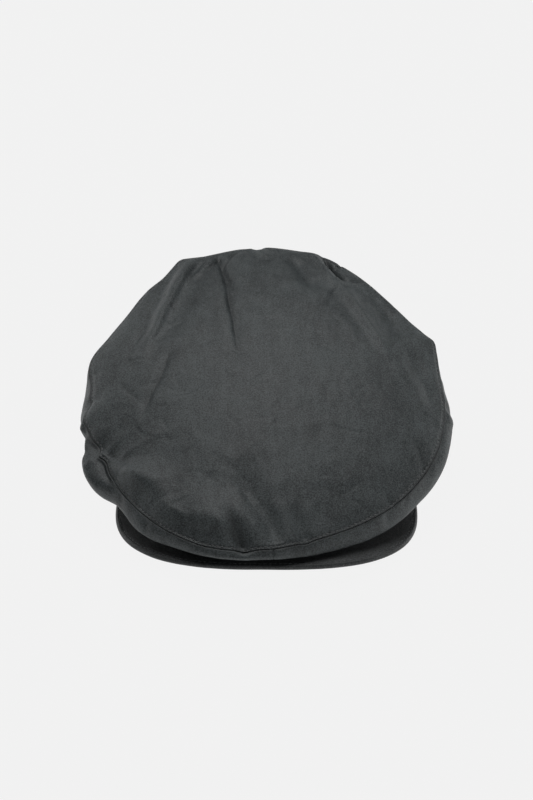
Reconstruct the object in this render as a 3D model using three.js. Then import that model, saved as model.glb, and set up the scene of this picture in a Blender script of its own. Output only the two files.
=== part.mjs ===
// A waxed cotton flat cap standing on its own hem: one large top panel, two side panels that meet
// at the centre back and at the centre front, and a stiff peak under the overhanging front.
// Millimetres, +Z up, the peak towards -Y. A turn is the angle round the cap in degrees,
// 0 at the front and growing towards +X. A reach is the distance from the cap's upright axis.
// Left and right are as seen from the front.

import * as THREE from "three";

// Cloth and clearances
const WALL = 2;
const SEAM_GAP = 0.45;
const REST_GAP = 0.3;
const JOIN_GAP_TURN = 0.2;

// Head opening, an oval on the surface that the cap stands on
const HEAD_HALF_WIDTH = 85;
const HEAD_HALF_LENGTH = 98;
const HEAD_CENTRE_Y = 20;

// Top panel: a dome over a plane that climbs towards the back. Towards its middle, the seam's uneven
// outline calms down to an oval that lies a little further back.
const TOP_HEIGHT = 83;
const TOP_TILT = 0.27;
const TOP_ROUND_SHARE = 0.8;
const TOP_EDGE_POWER = 6;
const CALM_REACH = 118;
const CALM_SHIFT = 5.4;

// Side panels: shares of the height between hem and widest line, and a drop that lowers their belly
const SHOULDER_SHARE = 0.5;
const BELLY_SHARE = 0.55;
const BELLY_DROP = 5;
const UPRIGHT_SHARE = 0.4;
const FLAP_SHARE = 0.45;

// Folds fade out over this share of their length at each end, and next to the seam
const FOLD_FADE = 0.3;
const FOLD_SEAM_SHARE = 0.9;
const HANG_START = 0.8;
const HANG_FULL = 1.4;
const HANG_FADE = 1.6;

// Peak
const PEAK_HALF_WIDTH = 97.2;
const PEAK_FRONT_Y = -124.6;
const PEAK_WIDEST_Y = -50;
const PEAK_END_TURN = 72;
const PEAK_END_WIDTH = 3;
const PEAK_WIDEST_PLACE = 0.8;
const PEAK_ROUNDING_SHARE = 0.985;
const PEAK_LEFT_FULLNESS = 0.86;
const PEAK_RIGHT_FULLNESS = 0.82;
const PEAK_THICKNESS = 3.5;
const PEAK_EDGE_TOP = 4.7;
const PEAK_FRONT_RISE = 10.8;
const PEAK_ROOT_SLOPE = 0.06;
const PEAK_FLAT_Y = -22;
const PEAK_ARCHED_Y = -62;

// Turns where the side panels still lie on the peak, lie flat under the front, and reach the surface
const HEM_RAISED_TURN = 76;
const HEM_FLAP_TURN = 55;
const HEM_DOWN_TURN = 84;

// The cap's axis, set so that the origin is under the middle of the cap's outline
const AXIS_X = 0.4;
const AXIS_Y = -6;

// The two seams that join the side panels
const BACK_SEAM_TURN = 182;
const FRONT_SEAM_TURN = 2;

// How finely each surface is cut
const TOP_ROWS = 12;
const TOP_ROW_SPREAD = 78;
const SIDE_COLUMNS = 42;
const TOP_COLUMNS = 2 * SIDE_COLUMNS;
const SIDE_UPPER_ROWS = 3;
const SIDE_LOWER_ROWS = 6;
const PEAK_COLUMNS = 44;
const PEAK_ROWS = 4;

// Colours of the waxed cloth
const CLOTH_COLOUR = 0x3a4041;
const PEAK_COLOUR = 0x2a2d2e;

// The crown's section at each turn: the seam round the top panel, and the widest line below it.
const stations = [
  { turn: 0, seamReach: 121.5, seamHeight: 26.5, edgeReach: 124.5, edgeHeight: 22 },
  { turn: 20, seamReach: 116.5, seamHeight: 28, edgeReach: 120, edgeHeight: 19 },
  { turn: 40, seamReach: 116.5, seamHeight: 31.5, edgeReach: 119.5, edgeHeight: 20 },
  { turn: 55, seamReach: 116.5, seamHeight: 36, edgeReach: 119.5, edgeHeight: 26.5 },
  { turn: 70, seamReach: 117, seamHeight: 43.5, edgeReach: 122.5, edgeHeight: 36 },
  { turn: 85, seamReach: 116, seamHeight: 51, edgeReach: 121, edgeHeight: 43 },
  { turn: 100, seamReach: 115.5, seamHeight: 60, edgeReach: 117.5, edgeHeight: 50 },
  { turn: 112, seamReach: 119.5, seamHeight: 68, edgeReach: 120, edgeHeight: 57 },
  { turn: 124, seamReach: 115, seamHeight: 74, edgeReach: 117, edgeHeight: 61 },
  { turn: 137, seamReach: 116, seamHeight: 80, edgeReach: 117.5, edgeHeight: 65 },
  { turn: 152, seamReach: 123.5, seamHeight: 85, edgeReach: 124.5, edgeHeight: 69 },
  { turn: 165, seamReach: 132, seamHeight: 88.2, edgeReach: 132.5, edgeHeight: 71 },
  { turn: 170, seamReach: 133.2, seamHeight: 88, edgeReach: 133.7, edgeHeight: 71 },
  { turn: 182, seamReach: 136.5, seamHeight: 88, edgeReach: 137, edgeHeight: 71 },
  { turn: 198, seamReach: 134, seamHeight: 86.5, edgeReach: 135, edgeHeight: 70 },
  { turn: 205.5, seamReach: 135.8, seamHeight: 85.5, edgeReach: 136.8, edgeHeight: 69 },
  { turn: 214, seamReach: 127, seamHeight: 82, edgeReach: 128.5, edgeHeight: 67 },
  { turn: 221, seamReach: 123.5, seamHeight: 79.5, edgeReach: 125, edgeHeight: 65 },
  { turn: 233, seamReach: 117.5, seamHeight: 74, edgeReach: 119, edgeHeight: 60 },
  { turn: 244, seamReach: 117.5, seamHeight: 68.5, edgeReach: 119, edgeHeight: 55.5 },
  { turn: 254, seamReach: 121, seamHeight: 63, edgeReach: 121.5, edgeHeight: 51 },
  { turn: 264, seamReach: 119, seamHeight: 56.5, edgeReach: 120, edgeHeight: 46.5 },
  { turn: 273, seamReach: 119.5, seamHeight: 50.5, edgeReach: 121, edgeHeight: 43 },
  { turn: 283, seamReach: 116.5, seamHeight: 44.5, edgeReach: 120.5, edgeHeight: 40 },
  { turn: 291, seamReach: 113.6, seamHeight: 41, edgeReach: 126, edgeHeight: 34.5 },
  { turn: 298, seamReach: 114.5, seamHeight: 37.5, edgeReach: 125.5, edgeHeight: 29.5 },
  { turn: 306, seamReach: 116, seamHeight: 34, edgeReach: 118.8, edgeHeight: 25.5 },
  { turn: 320, seamReach: 119, seamHeight: 29.5, edgeReach: 123.5, edgeHeight: 19.5 },
  { turn: 334, seamReach: 122.5, seamHeight: 27, edgeReach: 124.5, edgeHeight: 20 },
  { turn: 346, seamReach: 124, seamHeight: 26, edgeReach: 127, edgeHeight: 22 },
];

// Folds in the top panel: each runs straight from one point to another and is pressed in by its depth,
// or stands up where the depth is negative.
const topFolds = [
  { name: "left ridge", fromX: -54, fromY: 131, toX: -90, toY: 8, width: 8, depth: -2.8 },
  { name: "left valley", fromX: -44, fromY: 131, toX: -83, toY: 4, width: 8, depth: 3.2 },
  { name: "back crease", fromX: -33, fromY: 128, toX: -17, toY: 0, width: 6, depth: 2.8 },
  { name: "right dimple", fromX: 36, fromY: 130, toX: 53, toY: 87, width: 5, depth: 6 },
  { name: "right ridge", fromX: 50, fromY: 90, toX: 83, toY: 12, width: 8, depth: -2.5 },
  { name: "right hollow", fromX: 62, fromY: 88, toX: 92, toY: 30, width: 8, depth: 2.2 },
  { name: "back hollow", fromX: 4, fromY: 126, toX: 30, toY: 72, width: 10, depth: 3 },
  { name: "left crease", fromX: -60, fromY: 24, toX: -82, toY: -32, width: 6, depth: 2.2 },
  { name: "front left bulge", fromX: -120, fromY: -55, toX: -60, toY: -85, width: 10, depth: -3.8 },
  { name: "front left crest", fromX: -98, fromY: -89, toX: 10, toY: -116, width: 9, depth: -3.8 },
  { name: "front dent one", fromX: -58, fromY: -84, toX: -34, toY: -128, width: 7, depth: 2.2 },
  { name: "front dent two", fromX: -22, fromY: -92, toX: -6, toY: -132, width: 6, depth: 3.2 },
  { name: "front dent three", fromX: -10, fromY: -74, toX: 19, toY: -122, width: 7, depth: 2.8 },
  { name: "front dent four", fromX: 14, fromY: -93, toX: 31, toY: -126, width: 6, depth: 2.4 },
  { name: "right wrinkle", fromX: 90, fromY: 40, toX: 112, toY: -22, width: 8, depth: 2.2 },
];

// Slack folds in the side panels below the widest line: each hangs at a turn, leans towards greater
// turns on its way down, and is pressed in by its depth.
const sideFolds = [
  { name: "right corner fold", turn: 112, lean: -10, width: 7, depth: 3 },
  { name: "right back fold", turn: 148, lean: 8, width: 8, depth: 3.5 },
  { name: "back left fold", turn: 205, lean: -9, width: 7, depth: 3.5 },
  { name: "left corner fold", turn: 246, lean: 12, width: 8, depth: 3 },
  { name: "left side fold", turn: 279, lean: -6, width: 5, depth: 3 },
  { name: "right side fold", turn: 84, lean: 7, width: 7, depth: 2.5 },
];

const radians = (degrees) => (degrees * Math.PI) / 180;
const mix = (a, b, share) => a + (b - a) * share;

// 0 before the start, 1 after the end, and a smooth rise between them; the end may be the smaller one.
function rise(value, start, end) {
  const share = Math.min(1, Math.max(0, (value - start) / (end - start)));
  return share * share * (3 - 2 * share);
}

// Degrees between a turn and the front of the cap, 0 to 180.
function turnFromFront(turn) {
  return Math.abs(((((turn + 180) % 360) + 360) % 360) - 180);
}

// One station of the table, counted on round the cap past its end or its start.
function stationAt(index) {
  const rounds = Math.floor(index / stations.length);
  const station = stations[index - rounds * stations.length];
  return { ...station, turn: station.turn + 360 * rounds };
}

// The crown's section at any turn, by a smooth curve through the stations.
function sectionAt(turn) {
  const angle = ((turn % 360) + 360) % 360;
  const index = stations.findLastIndex((station) => station.turn <= angle);
  const [before, start, end, after] = [-1, 0, 1, 2].map((step) => stationAt(index + step));
  const span = end.turn - start.turn;
  const u = (angle - start.turn) / span;
  const section = {};
  for (const column of ["seamReach", "seamHeight", "edgeReach", "edgeHeight"]) {
    const startSlope = ((end[column] - before[column]) / (end.turn - before.turn)) * span;
    const endSlope = ((after[column] - start[column]) / (after.turn - start.turn)) * span;
    section[column] =
      (2 * u ** 3 - 3 * u ** 2 + 1) * start[column] +
      (u ** 3 - 2 * u ** 2 + u) * startSlope +
      (3 * u ** 2 - 2 * u ** 3) * end[column] +
      (u ** 3 - u ** 2) * endSlope;
  }
  return section;
}

// A point from its place in the upright plane of a turn.
function placed(turn, reach, height) {
  const angle = radians(turn);
  return new THREE.Vector3(reach * Math.sin(angle), -reach * Math.cos(angle), height);
}

// Reach of the head opening's oval at a turn.
function hemReach(turn) {
  const across = Math.sin(radians(turn)) / HEAD_HALF_WIDTH;
  const along = -Math.cos(radians(turn)) / HEAD_HALF_LENGTH;
  const offset = HEAD_CENTRE_Y / HEAD_HALF_LENGTH;
  const a = across ** 2 + along ** 2;
  const b = along * offset;
  return (b + Math.sqrt(b ** 2 - a * (offset ** 2 - 1))) / a;
}

// Height of the peak's upper face above a point of the surface: arched from side to side, and rising
// towards its root.
function peakTop(x, y) {
  const arch = 1 - (x / PEAK_HALF_WIDTH) ** 2;
  const rootRise = PEAK_ROOT_SLOPE * (y - PEAK_FRONT_Y);
  return PEAK_EDGE_TOP + (PEAK_FRONT_RISE + rootRise) * arch * rise(y, PEAK_FLAT_Y, PEAK_ARCHED_Y);
}

// Lowest height for the side panels, which lie on the peak at the front and reach down to the surface
// everywhere else.
function hemFloor(turn, x, y) {
  return (peakTop(x, y) + REST_GAP) * rise(turnFromFront(turn), HEM_DOWN_TURN, HEM_RAISED_TURN);
}

// How far the hem has turned in under the front: 0 where it stands upright on the surface, 1 where it
// lies flat on the peak.
function flapShare(turn) {
  return rise(turnFromFront(turn), HEM_DOWN_TURN, HEM_FLAP_TURN);
}

// Depth of all the top panel's folds at a point.
function topFoldDepth(x, y) {
  let depth = 0;
  for (const fold of topFolds) {
    const runX = fold.toX - fold.fromX;
    const runY = fold.toY - fold.fromY;
    const length = Math.hypot(runX, runY);
    const along = ((x - fold.fromX) * runX + (y - fold.fromY) * runY) / length ** 2;
    const across = ((x - fold.fromX) * runY - (y - fold.fromY) * runX) / length;
    const fade = rise(along, 0, FOLD_FADE) * rise(along, 1, 1 - FOLD_FADE);
    depth += fold.depth * fade * Math.exp(-((across / fold.width) ** 2));
  }
  return depth;
}

// The top panel's outer face as reach and height. Its share is 0 at the middle and 1 at the seam.
function topSection(turn, share) {
  const { seamReach, seamHeight } = sectionAt(turn);
  const calm = CALM_REACH - CALM_SHIFT * Math.cos(radians(turn));
  const reach = share * mix(calm, seamReach, share ** 2);
  const seam = placed(turn, seamReach, seamHeight);
  const drop = TOP_HEIGHT + TOP_TILT * seam.y - seamHeight;
  const dome = TOP_ROUND_SHARE * share ** 2 + (1 - TOP_ROUND_SHARE) * share ** TOP_EDGE_POWER;
  const { x, y } = placed(turn, reach, 0);
  const pressed = topFoldDepth(x, y) * rise(share, 1, FOLD_SEAM_SHARE);
  return new THREE.Vector2(reach, TOP_HEIGHT + TOP_TILT * y - drop * dome - pressed);
}

// The side panel's outer face from the seam (step 0) over the widest line (step 1) to the hem (step 2).
function sideSection(turn, step) {
  const { seamReach, seamHeight, edgeReach, edgeHeight } = sectionAt(turn);
  const hem = hemReach(turn);
  const hemPoint = placed(turn, hem, 0);
  const hemHeight = hemFloor(turn, hemPoint.x, hemPoint.y);
  if (step <= 1) {
    const shoulder = mix(seamHeight, edgeHeight, SHOULDER_SHARE);
    const upper = new THREE.QuadraticBezierCurve(
      new THREE.Vector2(seamReach, seamHeight),
      new THREE.Vector2(edgeReach, shoulder),
      new THREE.Vector2(edgeReach, edgeHeight),
    );
    return upper.getPoint(step);
  }
  const flap = flapShare(turn);
  const drop = edgeHeight - hemHeight;
  const lower = new THREE.CubicBezierCurve(
    new THREE.Vector2(edgeReach, edgeHeight),
    new THREE.Vector2(edgeReach, edgeHeight - BELLY_SHARE * drop - BELLY_DROP),
    new THREE.Vector2(
      mix(hem, edgeReach, FLAP_SHARE * flap),
      hemHeight + UPRIGHT_SHARE * drop * (1 - flap),
    ),
    new THREE.Vector2(hem, hemHeight),
  );
  const point = lower.getPoint(step - 1);
  const { x, y } = placed(turn, point.x, 0);
  point.y = Math.max(point.y, hemFloor(turn, x, y));
  return point;
}

// Depth of the side panels' slack folds: nothing above the widest line and at the hem, most between.
function sideFoldDepth(turn, step) {
  const hang = rise(step, HANG_START, HANG_FULL) * rise(step, 2, HANG_FADE);
  let depth = 0;
  for (const fold of sideFolds) {
    const away = turn - fold.turn - fold.lean * (step - 1.5);
    depth += fold.depth * hang * Math.exp(-((away / fold.width) ** 2));
  }
  return depth;
}

// Direction into the cloth, square to a section curve at a parameter between its two ends.
function inward(section, at, low, high) {
  const nudge = 0.002 * (high - low);
  const ahead = section(Math.min(high, at + nudge));
  const behind = section(Math.max(low, at - nudge));
  const along = ahead.sub(behind).normalize();
  return new THREE.Vector2(along.y, -along.x);
}

// Offset from the seam line to the inner corner where the two panels' inner faces would meet.
function seamCorner(turn) {
  const fromTop = inward((share) => topSection(turn, share), 1, 0.9, 1);
  const fromSide = inward((step) => sideSection(turn, step), 0, 0, 1);
  return fromTop.clone().add(fromSide).multiplyScalar(WALL / (1 + fromTop.dot(fromSide)));
}

// Outer and inner grids of the top panel, from the middle to the seam.
function topGrids() {
  const outer = [];
  const inner = [];
  for (let row = 0; row <= TOP_ROWS; row += 1) {
    const spread = radians(TOP_ROW_SPREAD);
    const share = Math.sin((spread * row) / TOP_ROWS) / Math.sin(spread);
    outer.push([]);
    inner.push([]);
    for (let column = 0; column <= TOP_COLUMNS; column += 1) {
      const turn = FRONT_SEAM_TURN + (360 * (column % TOP_COLUMNS)) / TOP_COLUMNS;
      const section = (at) => topSection(turn, at);
      const point = section(share);
      const square = inward(section, share, 0, 1);
      const down = new THREE.Vector2(0, -1);
      let offset = down.lerp(square, rise(share, 0, 0.4)).normalize().multiplyScalar(WALL);
      if (row === TOP_ROWS) {
        offset = seamCorner(turn);
        point.addScaledVector(new THREE.Vector2(square.y, -square.x), SEAM_GAP / 2);
      }
      outer[row].push(placed(turn, point.x, point.y));
      inner[row].push(placed(turn, point.x + offset.x, point.y + offset.y));
    }
  }
  return { outer, inner };
}

// Outer and inner grids of a side panel between two turns, from the seam down to the hem.
function sideGrids(startTurn, endTurn) {
  const rows = SIDE_UPPER_ROWS + SIDE_LOWER_ROWS;
  const outer = [];
  const inner = [];
  for (let row = 0; row <= rows; row += 1) {
    const upper = row / SIDE_UPPER_ROWS;
    const step = upper <= 1 ? upper : 1 + (row - SIDE_UPPER_ROWS) / SIDE_LOWER_ROWS;
    outer.push([]);
    inner.push([]);
    for (let column = 0; column <= SIDE_COLUMNS; column += 1) {
      const turn = mix(startTurn, endTurn, column / SIDE_COLUMNS);
      const section = (at) => sideSection(turn, at);
      const point = section(step);
      const square = inward(section, step, 0, 2);
      let offset = square.clone().multiplyScalar(WALL);
      if (row === 0) {
        offset = seamCorner(turn);
        point.addScaledVector(new THREE.Vector2(-square.y, square.x), SEAM_GAP / 2);
      } else if (row === rows) {
        offset = new THREE.Vector2(flapShare(turn) - 1, flapShare(turn)).setLength(WALL);
      } else {
        point.addScaledVector(square, sideFoldDepth(turn, step));
      }
      outer[row].push(placed(turn, point.x, point.y));
      inner[row].push(placed(turn, point.x + offset.x, point.y + offset.y));
    }
  }
  return { outer, inner };
}

// The peak's free edge in plan, for a place from -1 at its left end to 1 at its right end: a full curve
// at the front that turns back to the hem at both ends.
function peakEdge(place) {
  const side = Math.sign(place);
  const distance = Math.abs(place);
  if (distance <= PEAK_WIDEST_PLACE) {
    const angle = radians((90 * distance) / PEAK_WIDEST_PLACE);
    const depth = PEAK_WIDEST_Y - PEAK_FRONT_Y;
    const fullness = place < 0 ? PEAK_LEFT_FULLNESS : PEAK_RIGHT_FULLNESS;
    return {
      x: side * PEAK_HALF_WIDTH * Math.sin(angle) ** fullness,
      y: PEAK_WIDEST_Y - depth * Math.max(0, Math.cos(angle)) ** fullness,
    };
  }
  const end = placed(PEAK_END_TURN, hemReach(PEAK_END_TURN) + PEAK_END_WIDTH, 0);
  const angle = radians((90 * (distance - PEAK_WIDEST_PLACE)) / (1 - PEAK_WIDEST_PLACE));
  return {
    x: side * mix(end.x, PEAK_HALF_WIDTH, Math.cos(angle)),
    y: mix(PEAK_WIDEST_Y, end.y, Math.sin(angle)),
  };
}

// Upper and lower grids of the peak, from its root at the hem to its free edge, where both meet in
// one line halfway up the thickness.
function peakGrids() {
  const upper = [];
  const lower = [];
  for (let row = 0; row <= PEAK_ROWS + 1; row += 1) {
    const edgeShare = row > PEAK_ROWS ? 1 : (PEAK_ROUNDING_SHARE * row) / PEAK_ROWS;
    upper.push([]);
    lower.push([]);
    for (let column = 0; column <= PEAK_COLUMNS; column += 1) {
      const place = (2 * column) / PEAK_COLUMNS - 1;
      const turn = place * PEAK_END_TURN;
      const root = placed(turn, hemReach(turn) - WALL / 2, 0);
      const edge = peakEdge(place);
      const x = mix(root.x, edge.x, edgeShare);
      const y = mix(root.y, edge.y, edgeShare);
      const top = peakTop(x, y);
      const half = PEAK_THICKNESS / 2;
      const lip = row > PEAK_ROWS ? half : 0;
      upper[row].push(new THREE.Vector3(x, y, top - lip));
      lower[row].push(new THREE.Vector3(x, y, top - PEAK_THICKNESS + lip));
    }
  }
  return { outer: upper, inner: lower };
}

// One closed body from an outer and an inner grid, joined round the grids' borders. Triangles with
// two corners in one place are left out, so a grid may narrow to a point or meet the other in a line.
function closedBody({ outer, inner }) {
  const positions = [];
  const addTriangle = (a, b, c) => {
    const apart = a.distanceTo(b) * b.distanceTo(c) * c.distanceTo(a);
    if (apart > 1e-6) {
      positions.push(...a.toArray(), ...b.toArray(), ...c.toArray());
    }
  };
  const addQuad = (a, b, c, d) => {
    addTriangle(a, b, c);
    addTriangle(a, c, d);
  };
  const lastRow = outer.length - 1;
  const lastColumn = outer[0].length - 1;
  for (let row = 0; row < lastRow; row += 1) {
    for (let column = 0; column < lastColumn; column += 1) {
      const corners = (grid) => [
        grid[row][column],
        grid[row + 1][column],
        grid[row + 1][column + 1],
        grid[row][column + 1],
      ];
      addQuad(...corners(outer));
      addQuad(...corners(inner).reverse());
    }
  }
  const isRing = outer[lastRow][0].distanceTo(outer[lastRow][lastColumn]) < 1e-6;
  if (!isRing) {
    for (let row = 0; row < lastRow; row += 1) {
      addQuad(outer[row][0], inner[row][0], inner[row + 1][0], outer[row + 1][0]);
      addQuad(
        outer[row + 1][lastColumn],
        inner[row + 1][lastColumn],
        inner[row][lastColumn],
        outer[row][lastColumn],
      );
    }
  }
  for (let column = 0; column < lastColumn; column += 1) {
    addQuad(outer[0][column + 1], inner[0][column + 1], inner[0][column], outer[0][column]);
    addQuad(
      outer[lastRow][column],
      inner[lastRow][column],
      inner[lastRow][column + 1],
      outer[lastRow][column + 1],
    );
  }
  const geometry = new THREE.BufferGeometry();
  geometry.setAttribute("position", new THREE.Float32BufferAttribute(positions, 3));
  geometry.computeVertexNormals();
  return geometry;
}

// A named piece of waxed cloth.
function clothPiece(name, grids, color) {
  const material = new THREE.MeshStandardMaterial({ color, roughness: 0.62, metalness: 0 });
  const piece = new THREE.Mesh(closedBody(grids), material);
  piece.name = name;
  return piece;
}

const joinTurn = JOIN_GAP_TURN / 2;
const cap = new THREE.Group();
cap.add(clothPiece("crown_top", topGrids(), CLOTH_COLOUR));
cap.add(
  clothPiece(
    "side_right",
    sideGrids(FRONT_SEAM_TURN + joinTurn, BACK_SEAM_TURN - joinTurn),
    CLOTH_COLOUR,
  ),
);
cap.add(
  clothPiece(
    "side_left",
    sideGrids(BACK_SEAM_TURN + joinTurn, 360 + FRONT_SEAM_TURN - joinTurn),
    CLOTH_COLOUR,
  ),
);
cap.add(clothPiece("peak", peakGrids(), PEAK_COLOUR));
cap.position.set(AXIS_X, AXIS_Y, 0);

export default cap;
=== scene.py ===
import math

import bpy
import mathutils
import numpy as np
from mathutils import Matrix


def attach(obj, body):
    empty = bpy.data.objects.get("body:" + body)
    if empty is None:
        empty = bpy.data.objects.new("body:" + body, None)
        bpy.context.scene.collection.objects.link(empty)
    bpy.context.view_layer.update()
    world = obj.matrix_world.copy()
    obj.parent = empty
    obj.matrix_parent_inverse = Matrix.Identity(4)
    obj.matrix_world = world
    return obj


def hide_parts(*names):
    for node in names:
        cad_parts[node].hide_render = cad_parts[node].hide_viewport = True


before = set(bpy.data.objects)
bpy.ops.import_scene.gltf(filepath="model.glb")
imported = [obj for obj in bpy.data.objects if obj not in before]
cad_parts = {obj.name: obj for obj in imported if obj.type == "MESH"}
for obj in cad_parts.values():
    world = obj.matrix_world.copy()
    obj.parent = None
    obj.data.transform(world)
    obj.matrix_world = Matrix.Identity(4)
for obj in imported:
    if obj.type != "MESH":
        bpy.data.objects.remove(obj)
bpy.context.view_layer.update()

# A waxed cotton flat cap standing on its own hem: one large top panel, two side panels that meet
# at the centre back and at the centre front, and a stiff peak under the overhanging front.
# Shapes are worked out in millimetres, +Z up, the peak towards -Y, and become metres in each mesh.
# A turn is the angle round the cap in degrees, 0 at the front and growing towards +X. A reach is the
# distance from the cap's upright axis. Left and right are as seen from the front.

MM = 0.001

# Cloth
WALL = 2.0
REST_GAP = 0.3
JOIN_GAP_TURN = 0.01

# Millimetres of the cap's rim to a degree of turn, roughly
RIM_PER_TURN = 2.1

# Head opening
HEAD_HALF_WIDTH = 85.0
HEAD_HALF_LENGTH = 98.0
HEAD_CENTRE_Y = 20.0

# Top panel
TOP_HEIGHT = 83.0
TOP_TILT = 0.27
TOP_ROUND_SHARE = 0.8
TOP_EDGE_POWER = 6
CALM_REACH = 118.0
CALM_SHIFT = 5.4

# Side panels
SHOULDER_SHARE = 0.5
BELLY_SHARE = 0.55
BELLY_DROP = 5.0
UPRIGHT_SHARE = 0.4
FLAP_SHARE = 0.45

# Folds
FOLD_FADE = 0.3
FOLD_SEAM_SHARE = 0.965
RIDGE_SEAM_SHARE = 0.93
SEAM_FOLLOW_SHARE = 0.4
KINK_POWER = 14
SOFT_FOLD_POWER = 2.0
SHARP_FOLD_POWER = 1.15
# Hollow folds at least this crisp darken the cloth's colour with painted shade, in full from this depth
CREASE_CRISPNESS = 0.4
CREASE_FULL_DEPTH = 2.5
HANG_START = 0.8
HANG_FULL = 1.4
HANG_MIDDLE = 1.5
HANG_FADE = 1.6

# The top panel's folds waver sideways by these noises, in full from this fold width on.
# Columns: size, seed, sideways
FOLD_WAVERS = [
    (22.0, 3, 2.2),
    (9.0, 4, 0.7),
]
FOLD_WAVER_WIDTH = 8.0

# Peak
PEAK_HALF_WIDTH = 97.2
PEAK_FRONT_Y = -124.6
PEAK_WIDEST_Y = -50.0
PEAK_END_TURN = 72.0
PEAK_END_WIDTH = 3.0
PEAK_WIDEST_PLACE = 0.8
PEAK_LEFT_FULLNESS = 0.86
PEAK_RIGHT_FULLNESS = 0.82
PEAK_THICKNESS = 3.5
PEAK_EDGE_TOP = 4.7
PEAK_FRONT_RISE = 10.8
PEAK_ROOT_SLOPE = 0.06
PEAK_FLAT_Y = -22.0
PEAK_ARCHED_Y = -62.0

# Turns where the side panels still lie on the peak, lie flat under the front, and reach the surface
HEM_RAISED_TURN = 76.0
HEM_FLAP_TURN = 55.0
HEM_DOWN_TURN = 84.0

# The cap's axis and the two seams that join the side panels
AXIS_X = 0.4
AXIS_Y = -6.0
BACK_SEAM_TURN = 182.0
FRONT_SEAM_TURN = 2.0

# How finely each surface is cut, with its rows closer together towards its seam or edge. The side
# panels have the top panel's columns, so that the seam between them closes.
TOP_COLUMNS = 600
TOP_ROWS = 120
TOP_ROW_SPREAD = 83.0
TOP_FIRST_ROW = 0.012
TOP_INNER_STEP = 5
SIDE_COLUMNS = TOP_COLUMNS // 2 + 1
SIDE_ROWS = 96
SIDE_ROW_POWER = 1.7
SIDE_ROW_SHARE = 0.7
SIDE_INNER_STEP = 4
PEAK_COLUMNS = 260
PEAK_ROWS = 46
PEAK_ROW_SPREAD = 80.0
PEAK_NOSE_ROWS = 10

# Stitching
STITCH_PITCH = 3.1
STITCH_LENGTH = 2.5
STITCH_RADIUS = 0.36
STITCH_LIFT = 0.4
STITCH_END_DROP = 1.6
STITCH_END_TAPER = 0.75
STITCH_RINGS = 6
STITCH_SIDES = 6
STITCH_INSET = 1.7
STITCH_SINK = 0.5
STITCH_GROOVE = 0.7
HEM_STITCH_INSET = 5.0
HEM_STITCH_MARGIN = 2
PEAK_STITCH_INSET = 2.6
PEAK_STITCH_MARGIN = 4
PEAK_STITCH_RADIUS = 0.26
PEAK_STITCH_SINK = 0.14
PEAK_STITCH_GROOVE = 0.8

# Both panels' edges at the seam round the top turn in and down by the same distance and slope. The
# side panels' joins to each other are only slightly rounded.
SEAM_DITCH = 1.1
SEAM_TURN_IN = 50
TOP_LIP_WIDTH = 0.8
SIDE_LIP_WIDTH = 1.0
JOIN_LIP_WIDTH = 0.3
JOIN_LIP_DROP = 0.2
LIP_THINNING = 1.0

# The seam allowance under the top panel lifts it slightly, in full up to the first distance
ALLOWANCE_LIFT = 0.12
ALLOWANCE_FULL = 5.0
ALLOWANCE_END = 7.0

# Painted shade along the seam round the top fades to about a third at this distance
SEAM_SHADE_REACH = 1.2

# Unevenness of the cloth. Columns: height, size, seed
TOP_CRUMPLES = [
    (0.75, 26.0, 11),
    (0.3, 9.0, 15),
]
SIDE_CRUMPLE_HEIGHT = 0.5
SIDE_CRUMPLE_SIZE = 20.0
PEAK_CRUMPLE_HEIGHT = 0.12
PEAK_CRUMPLE_SIZE = 18.0
PEAK_SEED = 31
PEAK_RIM_SWELL = 0.06
PEAK_RIM_START = 2.4
PEAK_RIM_FULL = 1.2
CRUMPLE_RIDGE_SIZE = 0.7
CRUMPLE_RIDGE_SHARE = 0.4
NOISE_SEED_STEPS = (17.3, 31.7, 11.9)

# Distances from a seam or hem at which the unevenness, the dents and the puckers start and are full
EDGE_CALM = (0.0, 0.8)
TOP_CRUMPLE_CALM = (0.0, 8.0)
SIDE_CRUMPLE_CALM = (0.0, 6.0)
HEM_CRUMPLE_CALM = (0.5, 8.0)
HEM_EDGE_CALM = (0.0, 1.5)
DENT_CALM = (0.0, 2.5)
TOP_PUCKER_CALM = (0.3, 3.0)
SIDE_PUCKER_CALM = (0.4, 2.5)

# Short puckers square to a seam, and fine creases that run any way. Each random value lies between
# the two numbers of its range.
PUCKER_LEAN = 0.35
TOP_PUCKERS = {"count": 80, "seed": 5, "length": (7.0, 24.0), "width": (2.4, 6.0), "depth": (0.1, 0.45)}
SIDE_PUCKERS = {"count": 70, "length": (5.0, 14.0), "width": (2.0, 5.0), "depth": (0.1, 0.4)}
SIDE_RIGHT_SEED = 51
SIDE_LEFT_SEED = 71
FINE_CREASE_COUNT = 110
FINE_CREASE_SEED = 8
FINE_CREASE_PLACE = (-95.0, 95.0)
FINE_CREASE_HALF_LENGTH = (3.0, 12.0)
FINE_CREASE_WIDTH = (0.6, 1.3)
FINE_CREASE_DEPTH = (0.12, 0.4)
FINE_CREASE_BOW = (-0.03, 0.03)

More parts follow.
